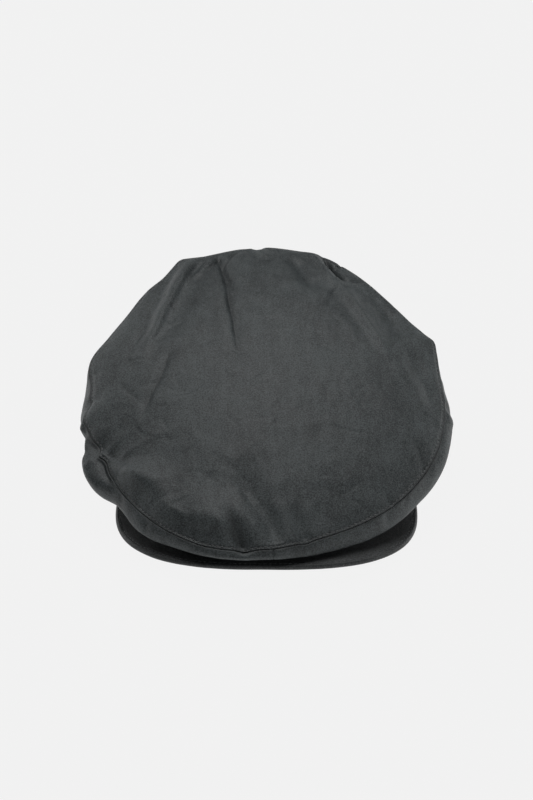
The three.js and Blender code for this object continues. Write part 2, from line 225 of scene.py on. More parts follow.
# The crown's section at each turn: the seam round the top panel, and the widest line below it.
# Columns: turn, seam_reach, seam_height, edge_reach, edge_height
STATIONS = [
    (0, 121.5, 26.5, 124.5, 22),
    (20, 116.5, 28, 120, 19),
    (40, 116.5, 31.5, 119.5, 20),
    (55, 116.5, 36, 119.5, 26.5),
    (70, 117, 43.5, 122.5, 36),
    (85, 116, 51, 121, 43),
    (100, 115.5, 60, 117.5, 50),
    (112, 119.5, 68, 120, 57),
    (124, 115, 74, 117, 61),
    (137, 116, 80, 117.5, 65),
    (152, 123.5, 85, 124.5, 69),
    (165, 132, 88.2, 132.5, 71),
    (170, 133.2, 88, 133.7, 71),
    (182, 136.5, 88, 137, 71),
    (198, 134, 86.5, 135, 70),
    (205.5, 135.8, 85.5, 136.8, 69),
    (214, 127, 82, 128.5, 67),
    (221, 123.5, 79.5, 125, 65),
    (233, 117.5, 74, 119, 60),
    (244, 117.5, 68.5, 119, 55.5),
    (254, 121, 63, 121.5, 51),
    (264, 119, 56.5, 120, 46.5),
    (273, 119.5, 50.5, 121, 43),
    (283, 116.5, 44.5, 120.5, 40),
    (291, 113.6, 41, 126, 34.5),
    (298, 114.5, 37.5, 125.5, 29.5),
    (306, 116, 34, 118.8, 25.5),
    (320, 119, 29.5, 123.5, 19.5),
    (334, 122.5, 27, 124.5, 20),
    (346, 124, 26, 127, 22),
]

# Small kinks in the seam round the top panel.
# Columns: name, turn, half_turn, out, up
SEAM_KINKS = [
    ("back seam notch", 182.6, 1.5, -1.4, -1.9),
    ("right corner", 112.5, 2.4, 1.3, 0.8),
    ("left back corner", 206, 2.2, 0.9, 0.6),
    ("left slack edge", 266.0, 6.0, -4.0, 0.6),
    ("left slack corner", 271.5, 2.6, -3.6, 0.2),
    ("left slack tip", 277.0, 2.2, 1.2, 0.0),
    ("left fold above", 288.5, 1.8, -1.3, 0),
    ("left fold", 292.3, 1.3, 2.4, 0),
    ("left fold below", 296, 1.8, -0.8, 0),
]

# Folds in the top panel. Each runs from one point to another, bows sideways at its middle, is
# pressed in by its depth or stands up where the depth is negative, is steeper on one side by its
# skew, and is a soft roll at crispness 0 and a sharp crease at 1.
# Columns: name, from_x, from_y, to_x, to_y, width, depth, bow, skew, crispness
TOP_FOLDS = [
    ("left outer hollow", -56, 131, -93, 4, 5, 2.1, 0, 0, 0.1),
    ("left shelf", -46, 131, -84, 6, 6, -2.4, 0, -0.2, 0.1),
    ("left crease line", -47, 116, -80, 10, 1.8, 0.5, 0, 0, 0.3),
    ("left valley", -40, 131, -80, 2, 6.5, 2.4, 0, 0.5, 0.1),
    ("left broad valley", -33, 124, -64, 26, 13, 1.8, 0, 0.3, 0),
    ("left valley lip", -74, 53, -60, 49, 1.6, 0.7, 0, 0, 0.6),
    ("back crease", -34, 129, -16, -4, 2.0, 2.3, 0, 0.5, 0.9),
    ("back crease head", -35, 132, -23, 70, 2.8, 2.0, 0, 0.2, 0.4),
    ("back crease roll", -37, 120, -24, 0, 6, -0.9, 0, 0, 0),
    ("back pucker one", -29, 126, -43, 98, 2.0, 1.8, 0, 0, 0.6),
    ("back pucker two", -34, 120, -52, 92, 2.6, -1.4, 0, 0, 0.3),
    ("back pucker three", -20, 130, -33, 98, 2.2, 1.6, 0, 0, 0.5),
    ("back pucker four", -42, 118, -57, 92, 2.8, 1.3, 0, 0, 0.3),
    ("notch ridge", -10, 142, 3, 110, 3, -2.0, 0, 0, 0.3),
    ("notch hollow", -16, 142, -3, 108, 3.5, 1.6, 0, 0, 0.2),
    ("right dimple head", 36, 130, 47, 104, 1.8, 2.6, 0, 0.1, 0.6),
    ("right dimple", 39, 120, 54, 86, 2.3, 6.5, 0, 0.1, 0.6),
    ("right dimple roll", 26, 138, 48, 76, 3.6, -2.2, 0, 0, 0.2),
    ("right nick", 40, 102, 55, 121, 1.6, 2.4, 0, 0, 0.6),
    ("right knot", 46, 88, 68, 98, 2.2, 1.6, 0, 0, 0.4),
    ("right knot light", 44, 92, 62, 84, 3, -1.6, 0, 0, 0.3),
    ("right valley", 50, 90, 40, 50, 3.4, 0.9, 0, 0, 0.3),
    ("right ridge", 47, 92, 83, 10, 4.0, -2.6, -1, 0, 0.4),
    ("right ridge hollow", 63, 92, 94, 30, 8, 3.4, 0, 0, 0),
    ("right ridge inner hollow", 42, 84, 68, 26, 5.5, 0.9, 0, 0, 0),
    ("right ridge tail", 72, 40, 92, -2, 5, -1.0, 0, 0, 0.3),
    ("back hollow", 14, 124, 36, 72, 8, 4.2, 0, 0, 0),
    ("back hollow crease", 24, 128, 41, 94, 4, 1.4, 0, 0, 0.3),
    ("left crease", -60, 24, -82, -32, 3, 1.9, 1, 0, 0.5),
    ("left small crease one", -93, 24, -81, 4, 2.0, 0.6, 0, 0, 0.6),
    ("left small crease two", -98, 4, -79, -19, 2.0, 0.7, 0, 0, 0.5),
    ("left low hollow", -112, -30, -84, -62, 4, 2.6, 0, 0, 0.2),
    ("front left bulge", -132, -47, -57, -84, 8.0, -5.8, 0, 0.2, 0),
    ("front left corner", -104, -52, -44, -102, 9, -1.6, 0, 0.3, 0),
    ("front left crest", -92, -91, 6, -114, 8, -5.2, 0, 0.4, 0),
    ("front dent one", -58, -84, -34, -128, 5, 0.8, 0, 0, 0.3),
    ("front dent two", -26, -98, 1, -152, 4.2, 4.8, 0, 0, 0.4),
    ("front dent two light", -34, -98, -8, -156, 4, -2.0, 0, 0, 0.2),
    ("front dent three", -20, -70, 11, -124, 7.5, 3.4, 0, 0.1, 0.1),
    ("front dent four", 16, -94, 34, -142, 5, 2.8, 0, 0, 0.2),
    ("front dent four light", 4, -90, 28, -142, 4, -1.2, 0, 0, 0.3),
    ("right wrinkle", 90, 40, 112, -22, 7, 2.4, 0, 0, 0.2),
    ("right front wrinkle", 93, -36, 106, -68, 3.6, 1.6, 0, 0, 0.4),
    ("right low dent", 72, -76, 87, -95, 2.8, 1.5, 0, 0, 0.3),
    ("front diagonal", -102, -54, -44, -39, 1.8, -0.35, 1, 0, 0.6),
    ("middle mark one", 16, 17, 40, 25, 1.2, 0.45, 0, 0, 0.8),
    ("middle mark two", 1, 19, 11, 26, 1.2, 0.45, 0, 0, 0.8),
    ("middle mark three", -10, -42, 5, -41, 1.2, 0.45, 0, 0, 0.8),
]

# Pressed-in dents also darken the cloth's colour with painted shade.
# Small dents in the side panels near their upper seam: each is centred at a turn and a distance down
# from the seam, and is pressed in by its depth or stands out where the depth is negative.
# Columns: name, turn, down, half_turn, half_down, depth
SIDE_DENTS = [
    ("left fold hollow", 298, 2.2, 5.0, 2.2, 1.5),
    ("left fold ridge", 292.3, 6, 1.1, 4, -0.6),
    ("left fold pinch", 287, 10, 1.8, 6, 1.3),
    ("left seam shade", 286, 3, 3.5, 3, 1.2),
    ("left corner ridge", 278, 5, 1.5, 5, -1.5),
    ("left corner hollow", 281, 6, 1.5, 6, 1.2),
    ("left low crease", 309, 5, 1.6, 6, 1.0),
    ("front left crease", 322, 5, 1.2, 5, 0.9),
    ("right corner crease", 88, 4, 1.6, 5, 1.4),
    ("right corner ridge", 84, 5, 1.8, 6, -1.2),
    ("right front crease", 40, 5, 1.4, 5, 0.8),
]

# Slack folds in the side panels below the widest line: each hangs at a turn, leans towards greater
# turns on its way down, and is pressed in by its depth.
# Columns: name, turn, lean, width, depth
SIDE_FOLDS = [
    ("right corner fold", 112, -10, 7, 3),
    ("right back fold", 148, 8, 8, 3.5),
    ("back left fold", 205, -9, 7, 3.5),
    ("left corner fold", 246, 12, 8, 3),
    ("left side fold", 279, -6, 5, 3),
    ("right side fold", 84, 7, 7, 2.5),
]

# Colours of the waxed cloth where it is darkest and lightest, and of the thread
CLOTH_DARK = (0.012, 0.0155, 0.0165)
CLOTH_LIGHT = (0.067, 0.078, 0.080)
PEAK_DARK = (0.011, 0.0125, 0.013)
PEAK_LIGHT = (0.050, 0.054, 0.055)
THREAD_DARK = (0.02, 0.022, 0.023)
THREAD_LIGHT = (0.115, 0.124, 0.126)

# Noises in the materials, with their sizes in metres
MOTTLE = {"size": 0.030, "detail": 4.0, "roughness": 0.6, "distortion": 0.6}
STREAK = {"size": 0.014, "detail": 3.0, "roughness": 0.6}
SPECKLE = {"size": 0.00085, "detail": 1.0, "roughness": 0.7}
PEBBLE = {"size": 0.0011, "detail": 3.0, "roughness": 0.75}
WRINKLE = {"size": 0.012, "detail": 5.0, "roughness": 0.62, "distortion": 0.4}
TWIST = {"size": 0.0009, "detail": 2.0, "roughness": 0.6}
STREAK_TURN = 0.5
STREAK_STRETCH = (3.0, 0.8, 1.0)

# How much each noise counts in the cloth's colour, and how much painted shade darkens its creases and
# seams
MOTTLE_SHARE = 0.26
STREAK_SHARE = 0.16
SPECKLE_SHARE = 0.58
COLOUR_START = 0.4
COLOUR_END = 0.6
THREAD_COLOUR_START = 0.3
THREAD_COLOUR_END = 0.7
CREASE_SHADE = 0.35
SEAM_SHADE = 0.5

# Gloss and relief of the cloth, with lengths in metres
CLOTH_ROUGHNESS = 0.6
ROUGHNESS_SPAN = 0.18
THREAD_ROUGHNESS = 0.45
WEAVE_PITCH = 0.0006
WEAVE_SHARE = 0.12
GRAIN_STRENGTH = 0.3
GRAIN_DEPTH = 0.0006
WRINKLE_STRENGTH = 0.3
WRINKLE_DEPTH = 0.0010

# Floor and surroundings, with lengths in metres
FLOOR_HALF = 12.0
FLOOR_TONE = 0.01
FLOOR_GLOW = 0.875
SURROUND_STRENGTH = 0.01

# Soft rectangular lights that face the cap, with places and sizes in metres.
# Columns: name, place, width, height, power
LIGHT_TARGET = (0.0, 0.0, 0.05)
LIGHTS = [
    ("overhead", (0.0, 0.46, 1.52), 1.2, 0.9, 17.4),
    ("left_back", (-0.87, 0.87, 1.03), 0.8, 0.8, 2.2),
    ("right_low", (1.2, 0.45, 0.06), 1.2, 0.1, 5.0),
    ("front_right", (0.8, -1.25, 0.3), 0.6, 0.3, 2.8),
    ("left_low", (-1.15, 0.85, 0.08), 0.9, 0.15, 4.0),
]

# Camera, with lengths in millimetres. It looks a little above its target in the picture, by the
# drop.
VIEW_ELEVATION = 35.0
VIEW_DISTANCE = 1500.0
VIEW_TARGET = (0.4, -6.0, 45.0)
VIEW_DROP = 7.4
LENS = 103.3
SENSOR = 36.0


def mix(a, b, share):
    """The value a share of the way from a to b."""
    return a + (b - a) * share


def rise(value, start, end):
    """0 before the start, 1 after the end, and a smooth rise between them."""
    share = np.clip((value - start) / (end - start), 0.0, 1.0)
    return share * share * (3.0 - 2.0 * share)


def turn_from_front(turn):
    """Degrees between a turn and the front of the cap, 0 to 180."""
    return np.abs(np.mod(turn + 180.0, 360.0) - 180.0)


def sections(turn):
    """Seam reach, seam height, edge reach and edge height by a smooth curve through the stations."""
    table = np.array(STATIONS, dtype=float)
    index = np.arange(-1, len(table) + 2)
    knots = table[index % len(table)]
    knots[:, 0] += 360.0 * (index // len(table))
    angle = np.mod(turn, 360.0)
    place = np.searchsorted(knots[:, 0], angle, side="right") - 1
    before, start, end, after = (np.moveaxis(knots[place + step], -1, 0) for step in (-1, 0, 1, 2))
    span = end[0] - start[0]
    u = (angle - start[0]) / span
    start_slope = (end - before) / (end[0] - before[0]) * span
    end_slope = (after - start) / (after[0] - start[0]) * span
    curve = (
        (2 * u**3 - 3 * u**2 + 1) * start
        + (u**3 - 2 * u**2 + u) * start_slope
        + (3 * u**2 - 2 * u**3) * end
        + (u**3 - u**2) * end_slope
    )
    return curve[1:]


def seam_kink(turn):
    """How far its small kinks move the seam out and up, where it also sinks with the folds it meets."""
    out = np.zeros_like(turn)
    up = np.zeros_like(turn)
    for _, kink_turn, half_turn, kink_out, kink_up in SEAM_KINKS:
        nearness = np.exp(-(((np.mod(turn, 360.0) - kink_turn) / half_turn) ** 2))
        out = out + kink_out * nearness
        up = up + kink_up * nearness
    seam = placed(turn, sections(turn)[0], 0.0)
    hollow = np.maximum(top_folds(seam[..., 0], seam[..., 1])[0], 0.0)
    return out, up - SEAM_FOLLOW_SHARE * hollow


def placed(turn, reach, height):
    """Points from their places in the upright planes of their turns."""
    angle = np.radians(turn)
    x = reach * np.sin(angle)
    y = -reach * np.cos(angle)
    return np.stack(np.broadcast_arrays(x, y, height), axis=-1)


def hem_reach(turn):
    """Reach of the head opening's oval."""
    across = np.sin(np.radians(turn)) / HEAD_HALF_WIDTH
    along = -np.cos(np.radians(turn)) / HEAD_HALF_LENGTH
    offset = HEAD_CENTRE_Y / HEAD_HALF_LENGTH
    a = across**2 + along**2
    b = along * offset
    return (b + np.sqrt(b**2 - a * (offset**2 - 1))) / a


def peak_top(x, y):
    """Height of the peak's upper face."""
    arch = 1.0 - (x / PEAK_HALF_WIDTH) ** 2
    root_rise = PEAK_ROOT_SLOPE * (y - PEAK_FRONT_Y)
    return PEAK_EDGE_TOP + (PEAK_FRONT_RISE + root_rise) * arch * rise(y, PEAK_FLAT_Y, PEAK_ARCHED_Y)


def hem_floor(turn, x, y):
    """Lowest height for the side panels, which lie on the peak at the front."""
    return (peak_top(x, y) + REST_GAP) * rise(turn_from_front(turn), HEM_DOWN_TURN, HEM_RAISED_TURN)


def flap_share(turn):
    """0 where the hem stands upright on the surface, 1 where it lies flat on the peak."""
    return rise(turn_from_front(turn), HEM_DOWN_TURN, HEM_FLAP_TURN)


def noise(points, size, seed):
    """Smooth noise between about -1 and 1 with features about one size across."""
    offset = mathutils.Vector([seed * step for step in NOISE_SEED_STEPS])
    flat = (points.reshape(-1, 3) / size).tolist()
    values = [mathutils.noise.noise(mathutils.Vector(point) + offset) for point in flat]
    return np.array(values).reshape(points.shape[:-1])


def top_folds(x, y):
    """Depth of all the top panel's folds at points in plan, and how deep in a sharp crease they lie."""
    points = np.stack((x, y, np.zeros_like(x)), axis=-1)
    waver = sum(noise(points, size, seed) * sideways for size, seed, sideways in FOLD_WAVERS)
    depth = np.zeros_like(x)
    crease = np.zeros_like(x)
    for _, from_x, from_y, to_x, to_y, width, deep, bow, skew, crispness in TOP_FOLDS:
        run_x = to_x - from_x
        run_y = to_y - from_y
        length = math.hypot(run_x, run_y)
        along = ((x - from_x) * run_x + (y - from_y) * run_y) / length**2
        across = ((x - from_x) * run_y - (y - from_y) * run_x) / length
        across = across + 4.0 * bow * along * (1.0 - along) + waver * min(1.0, width / FOLD_WAVER_WIDTH)
        steepness = 1.0 + skew * np.tanh(across / width)
        fade = rise(along, 0.0, FOLD_FADE) * rise(along, 1.0, 1.0 - FOLD_FADE)
        away = np.abs(across * steepness / width)
        pressed = deep * fade * np.exp(-(away ** mix(SOFT_FOLD_POWER, SHARP_FOLD_POWER, crispness)))
        depth += pressed
        # Sharp hollow creases gather a share that darkens the colour as painted shade
        if deep > 0.0 and crispness >= CREASE_CRISPNESS:
            crease += pressed * np.exp(-(away**2))
    return depth, np.minimum(1.0, crease / CREASE_FULL_DEPTH)


def top_section(turn, share):
    """Reach and height of the top panel's outer face, with its share 0 at the middle, 1 at the seam."""
    seam_reach, seam_height = sections(turn)[:2]
    calm = CALM_REACH - CALM_SHIFT * np.cos(np.radians(turn))
    kink_out, kink_up = seam_kink(turn)
    kinked = share**KINK_POWER
    reach = share * mix(calm, seam_reach, share**2) + kink_out * kinked
    seam_y = placed(turn, seam_reach + kink_out, 0.0)[..., 1]
    drop = TOP_HEIGHT + TOP_TILT * seam_y - seam_height
    dome = TOP_ROUND_SHARE * share**2 + (1.0 - TOP_ROUND_SHARE) * share**TOP_EDGE_POWER
    point = placed(turn, reach, 0.0)
    pressed, crease = top_folds(point[..., 0], point[..., 1])
    hollows = np.maximum(pressed, 0.0)
    ridges = np.minimum(pressed, 0.0)
    pressed = hollows * rise(share, 1.0, FOLD_SEAM_SHARE) + ridges * rise(share, 1.0, RIDGE_SEAM_SHARE)
    height = TOP_HEIGHT + TOP_TILT * point[..., 1] - drop * dome - pressed + kink_up * kinked
    return reach, height, crease


def side_section(turn, step):
    """Reach and height of the side panel at a step: 0 at the seam, 1 at its widest line, 2 at the hem."""
    seam_reach, seam_height, edge_reach, edge_height = sections(turn)
    kink_out, kink_up = seam_kink(turn)
    seam_reach = seam_reach + kink_out
    seam_height = seam_height + kink_up
    hem = hem_reach(turn)
    hem_point = placed(turn, hem, 0.0)
    hem_height = hem_floor(turn, hem_point[..., 0], hem_point[..., 1])
    u = np.clip(step, 0.0, 1.0)
    shoulder = mix(seam_height, edge_height, SHOULDER_SHARE)
    upper_reach = (1 - u) ** 2 * seam_reach + (2 * u * (1 - u) + u**2) * edge_reach
    upper_height = (1 - u) ** 2 * seam_height + 2 * u * (1 - u) * shoulder + u**2 * edge_height
    v = np.clip(step - 1.0, 0.0, 1.0)
    flap = flap_share(turn)
    drop = edge_height - hem_height
    reaches = (edge_reach, edge_reach, mix(hem, edge_reach, FLAP_SHARE * flap), hem)
    heights = (
        edge_height,
        edge_height - BELLY_SHARE * drop - BELLY_DROP,
        hem_height + UPRIGHT_SHARE * drop * (1.0 - flap),
        hem_height,
    )
    weights = ((1 - v) ** 3, 3 * v * (1 - v) ** 2, 3 * v**2 * (1 - v), v**3)
    lower_reach = sum(weight * reach for weight, reach in zip(weights, reaches))
    lower_height = sum(weight * height for weight, height in zip(weights, heights))
    point = placed(turn, lower_reach, 0.0)
    lower_height = np.maximum(lower_height, hem_floor(turn, point[..., 0], point[..., 1]))
    is_upper = step <= 1.0
    return np.where(is_upper, upper_reach, lower_reach), np.where(is_upper, upper_height, lower_height)


def side_fold_depth(turn, step):
    """Depth of the side panels' slack folds."""
    hang = rise(step, HANG_START, HANG_FULL) * rise(step, 2.0, HANG_FADE)
    depth = np.zeros(np.broadcast(turn, step).shape)
    for _, fold_turn, lean, width, deep in SIDE_FOLDS:
        away = turn - fold_turn - lean * (step - HANG_MIDDLE)
        depth = depth + deep * hang * np.exp(-((away / width) ** 2))
    return depth


def normals_of(grid, closed):
    """Outward unit normals of a grid whose rows run down the cap and whose columns run round it."""
    if closed:
        wide = np.concatenate((grid[:, -1:], grid, grid[:, :1]), axis=1)
        across = wide[:, 2:] - wide[:, :-2]
    else:
        across = np.gradient(grid, axis=1)
    down = np.gradient(grid, axis=0)
    normal = np.cross(down, across)
    length = np.linalg.norm(normal, axis=-1, keepdims=True)
    return normal / np.maximum(length, 1e-9)


def distances(points):
    """Running distance along a row of points, from the first."""
    steps = np.linalg.norm(np.diff(points, axis=0), axis=-1)
    return np.concatenate(([0.0], np.cumsum(steps)))


def short_folds(turn, away, count, seed, length, width, depth):
    """Short puckers square to a seam at random turns, each with a random length, width and depth."""
    random = np.random.default_rng(seed)
    total = np.zeros(np.broadcast(turn, away).shape)
    for _ in range(count):
        centre = random.uniform(0.0, 360.0)
        reach_in = random.uniform(*length)
        half_width = random.uniform(*width) / RIM_PER_TURN
        deep = random.uniform(*depth) * random.choice((-1.0, 1.0))
        lean = random.uniform(-PUCKER_LEAN, PUCKER_LEAN)
        offset = np.mod(turn - centre - lean * away / RIM_PER_TURN + 180.0, 360.0) - 180.0
        total = total + deep * np.exp(-((offset / half_width) ** 2)) * rise(away, reach_in, 0.0)
    return total


def fine_creases(x, y):
    """Depth of the fine, short creases scattered over the top panel, running any way."""
    random = np.random.default_rng(FINE_CREASE_SEED)
    depth = np.zeros_like(x)
    for _ in range(FINE_CREASE_COUNT):
        centre = random.uniform(*FINE_CREASE_PLACE, 2)
        heading = random.uniform(0.0, math.pi)
        half = random.uniform(*FINE_CREASE_HALF_LENGTH)
        width = random.uniform(*FINE_CREASE_WIDTH)
        deep = random.uniform(*FINE_CREASE_DEPTH)
        bow = random.uniform(*FINE_CREASE_BOW)
        along = (x - centre[0]) * math.cos(heading) + (y - centre[1]) * math.sin(heading)
        across = (y - centre[1]) * math.cos(heading) - (x - centre[0]) * math.sin(heading)
        across = across + bow * along**2
        depth += deep * np.exp(-((along / half) ** 4)) * np.exp(-((across / width) ** 2))
    return depth


def crumple(points, height, size, seed):
    """Low faceted unevenness as in stiff waxed cloth that was folded and opened again."""
    soft = noise(points, size, seed)
    ridged = 1.0 - 2.0 * np.abs(noise(points, size * CRUMPLE_RIDGE_SIZE, seed + 1))
    return height * mix(soft, ridged, CRUMPLE_RIDGE_SHARE)


def faces_of_grid(rows, columns, closed, start, flip):
    """Quads between the points of a grid whose first point has the index start."""
    last = columns if closed else columns - 1
    row, column = np.meshgrid(np.arange(rows - 1), np.arange(last), indexing="ij")
    ahead = (column + 1) % columns
    a = start + row * columns + column
    b = start + (row + 1) * columns + column
    c = start + (row + 1) * columns + ahead
    d = start + row * columns + ahead
    quads = np.stack((a, b, c, d), axis=-1).reshape(-1, 4)
    return quads[:, ::-1] if flip else quads


def mesh_object(name, points, quads, layers):
    """A smooth mesh object from points in millimetres round the cap's axis, with named UV layers."""
    shifted = (points + np.array((AXIS_X, AXIS_Y, 0.0))) * MM
    mesh = bpy.data.meshes.new(name)
    mesh.from_pydata(shifted.tolist(), [], [face.tolist() for face in quads])
    for layer, values in layers.items():
        uv = mesh.uv_layers.new(name=layer)
        corners = np.zeros(len(mesh.loops), dtype=np.int32)
        mesh.loops.foreach_get("vertex_index", corners)
        uv.data.foreach_set("uv", values[corners].astype(np.float32).ravel())
    mesh.validate()
    mesh.shade_smooth()
    piece = bpy.data.objects.new(name, mesh)
    bpy.context.collection.objects.link(piece)
    return piece


def shell(name, outer, inner, inner_step, closed, layers):
    """A closed cloth shell from an outer and an inner grid, of which the inner keeps every few rows.

    A grid closed round the cap is also closed at its middle, with a fan of triangles.
    """
    rows, columns = outer.shape[:2]
    kept = np.unique(np.concatenate((np.arange(0, rows, inner_step), [rows - 1])))
    inner = inner[kept]
    points = np.concatenate((outer.reshape(-1, 3), inner.reshape(-1, 3)))
    inner_start = rows * columns
    last_inner = inner_start + (len(kept) - 1) * columns
    quads = [
        faces_of_grid(rows, columns, closed, 0, False),
        faces_of_grid(len(kept), columns, closed, inner_start, True),
    ]
    span = columns if closed else columns - 1
    column = np.arange(span)
    ahead = (column + 1) % columns
    bottom = (rows - 1) * columns
    rim = (bottom + column, last_inner + column, last_inner + ahead, bottom + ahead)
    quads.append(np.stack(rim, -1))
    values = {key: np.concatenate((grid, grid[kept])).reshape(-1, 2) for key, grid in layers.items()}
    if closed:
        middle = len(points)
        points = np.concatenate((points, outer[:1].mean(axis=1), inner[:1].mean(axis=1)))
        outer_fan = (column, ahead, np.full(span, middle))
        inner_fan = (inner_start + ahead, inner_start + column, np.full(span, middle + 1))
        quads += [np.stack(outer_fan, -1), np.stack(inner_fan, -1)]
        for key, grid in layers.items():
            centre = grid[:1].mean(axis=1)
            values[key] = np.concatenate((values[key], centre, centre))
    else:
        quads.append(np.stack((ahead, inner_start + ahead, inner_start + column, column), -1))
    faces = [face for block in quads for face in block]
    if not closed:
        for edge in (0, columns - 1):
            for low, high in zip(range(len(kept) - 1), kept[:-1]):
                run = list(range(high, kept[low + 1] + 1))
                outer_ids = [row * columns + edge for row in run]
                inner_ids = [inner_start + row * columns + edge for row in (low + 1, low)]
                ring = np.array(outer_ids + inner_ids)
                faces.append(ring[::-1] if edge == 0 else ring)
    return mesh_object(name, points, faces, values)


def lip_drop(away, width, depth):
    """How far a cloth edge rounds down towards its seam, at a distance from the seam."""
    inside = np.clip(1.0 - away / width, 0.0, 1.0)
    return depth * (1.0 - np.sqrt(np.maximum(0.0, 1.0 - inside**2)))


def into_seam(turn):
    """Unit vectors inwards and down at the seam, the way in which both panels' edges are turned."""
    slope = math.radians(SEAM_TURN_IN)
    return placed(turn, -math.cos(slope), -math.sin(slope)) + np.zeros(turn.shape + (3,))


def build_top():
    """The top panel with its folds, seam puckers and rounded edge."""
    spread = math.radians(TOP_ROW_SPREAD)
    steps = np.linspace(TOP_FIRST_ROW, 1.0, TOP_ROWS)[:, None]
    share = np.sin(spread * steps) / math.sin(spread)
    turn = FRONT_SEAM_TURN + 360.0 * np.arange(TOP_COLUMNS)[None, :] / TOP_COLUMNS
    reach, height, crease = top_section(turn, share)
    base = placed(turn, reach, height)
    normal = normals_of(base, True)
    away = np.linalg.norm(base - base[-1:], axis=-1)
    detail = sum(crumple(base, *row) for row in TOP_CRUMPLES) * rise(away, *TOP_CRUMPLE_CALM)
    detail -= fine_creases(base[..., 0], base[..., 1])
    detail += short_folds(turn, away, **TOP_PUCKERS) * rise(away, *TOP_PUCKER_CALM)
    detail += ALLOWANCE_LIFT * rise(away, ALLOWANCE_END, ALLOWANCE_FULL)
    detail -= STITCH_SINK * np.exp(-(((away - STITCH_INSET) / STITCH_GROOVE) ** 2))
    detail *= rise(away, *EDGE_CALM)
    lip = lip_drop(away, TOP_LIP_WIDTH, SEAM_DITCH)
    outer = base + normal * detail[..., None] + into_seam(turn) * lip[..., None]
    inner = base - normal * WALL
    inner[-1] = mix(inner[-2], outer[-1] - normal[-1] * (WALL - LIP_THINNING), 0.5)
    cloth = np.stack((base[..., 0], base[..., 1]), axis=-1) * MM
    # Painted shade: darker in the sharp creases and along the seam round the top
    wear = np.stack((crease, np.exp(-away / SEAM_SHADE_REACH)), axis=-1)
    top = shell("crown_top_cloth", outer, inner, TOP_INNER_STEP, True, {"cloth": cloth, "wear": wear})
    return top, (outer, normals_of(outer, True), away)


def build_side(name, start_turn, end_turn, seed):
    """A side panel from the seam over its widest line down to the hem."""
    steps = np.linspace(0.0, 1.0, SIDE_ROWS)[:, None]
    step = 2.0 * mix(steps, steps**SIDE_ROW_POWER, SIDE_ROW_SHARE)
    turn = np.linspace(start_turn, end_turn, SIDE_COLUMNS)[None, :]
    reach, height = side_section(turn, step)
    base = placed(turn, reach, height)
    normal = normals_of(base, False)
    base = base - normal * side_fold_depth(turn, step)[..., None]
    down = np.concatenate(
        (np.zeros((1, SIDE_COLUMNS)), np.cumsum(np.linalg.norm(np.diff(base, axis=0), axis=-1), axis=0))
    )
    crease = np.zeros_like(down)
    for _, at_turn, at_down, half_turn, half_down, deep in SIDE_DENTS:
        away = ((turn - at_turn) / half_turn) ** 2 + ((down - at_down) / half_down) ** 2
        base = base - normal * (deep * np.exp(-away) * rise(down, *DENT_CALM))[..., None]
        # Pressed-in dents darken the colour with painted shade
        crease = crease + max(0.0, deep) * np.exp(-away)
    crease = np.minimum(1.0, crease / CREASE_FULL_DEPTH)
    up = down[-1:] - down
    side_away = np.minimum(
        np.linalg.norm(base - base[:, :1], axis=-1), np.linalg.norm(base - base[:, -1:], axis=-1)
    )
    calm = rise(down, *SIDE_CRUMPLE_CALM) * rise(up, *HEM_CRUMPLE_CALM)
    detail = crumple(base, SIDE_CRUMPLE_HEIGHT, SIDE_CRUMPLE_SIZE, seed) * calm
    detail += short_folds(turn, down, seed=seed, **SIDE_PUCKERS) * rise(down, *SIDE_PUCKER_CALM)
    detail -= lip_drop(side_away, JOIN_LIP_WIDTH, JOIN_LIP_DROP)
    detail *= rise(up, *HEM_EDGE_CALM) * rise(down, *EDGE_CALM)
    lip = lip_drop(down, SIDE_LIP_WIDTH, SEAM_DITCH)
    outer = base + normal * detail[..., None] + into_seam(turn) * lip[..., None]
    inner = base - normal * WALL
    flap = flap_share(turn[0])
    offset = placed(turn[0], -(1.0 - flap), flap)
    offset /= np.linalg.norm(offset, axis=-1, keepdims=True)
    outer[-1] = base[-1]
    inner[-1] = base[-1] + WALL * offset
    around = distances(base[0])
    cloth = np.stack(np.broadcast_arrays(around[None, :], down), axis=-1) * MM
    # Painted shade: darker in the pressed-in dents and along the seam round the top
    wear = np.stack((crease, np.exp(-down / SEAM_SHADE_REACH)), axis=-1)
    side = shell(name, outer, inner, SIDE_INNER_STEP, False, {"cloth": cloth, "wear": wear})
    return side, (outer, normals_of(outer, False), up)


def peak_edge(place):
    """The peak's free edge in plan, for places from -1 at its left end to 1 at its right end."""
    side = np.sign(place)
    distance = np.abs(place)
    front = np.radians(90.0 * np.minimum(distance, PEAK_WIDEST_PLACE) / PEAK_WIDEST_PLACE)
    depth = PEAK_WIDEST_Y - PEAK_FRONT_Y
    fullness = np.where(place < 0.0, PEAK_LEFT_FULLNESS, PEAK_RIGHT_FULLNESS)
    front_x = PEAK_HALF_WIDTH * np.sin(front) ** fullness
    front_y = PEAK_WIDEST_Y - depth * np.maximum(0.0, np.cos(front)) ** fullness
    end = placed(PEAK_END_TURN, hem_reach(PEAK_END_TURN) + PEAK_END_WIDTH, 0.0)
    back = np.radians(90.0 * np.maximum(0.0, distance - PEAK_WIDEST_PLACE) / (1.0 - PEAK_WIDEST_PLACE))
    back_x = mix(end[0], PEAK_HALF_WIDTH, np.cos(back))
    back_y = mix(PEAK_WIDEST_Y, end[1], np.sin(back))
    is_front = distance <= PEAK_WIDEST_PLACE
    return side * np.where(is_front, front_x, back_x), np.where(is_front, front_y, back_y)


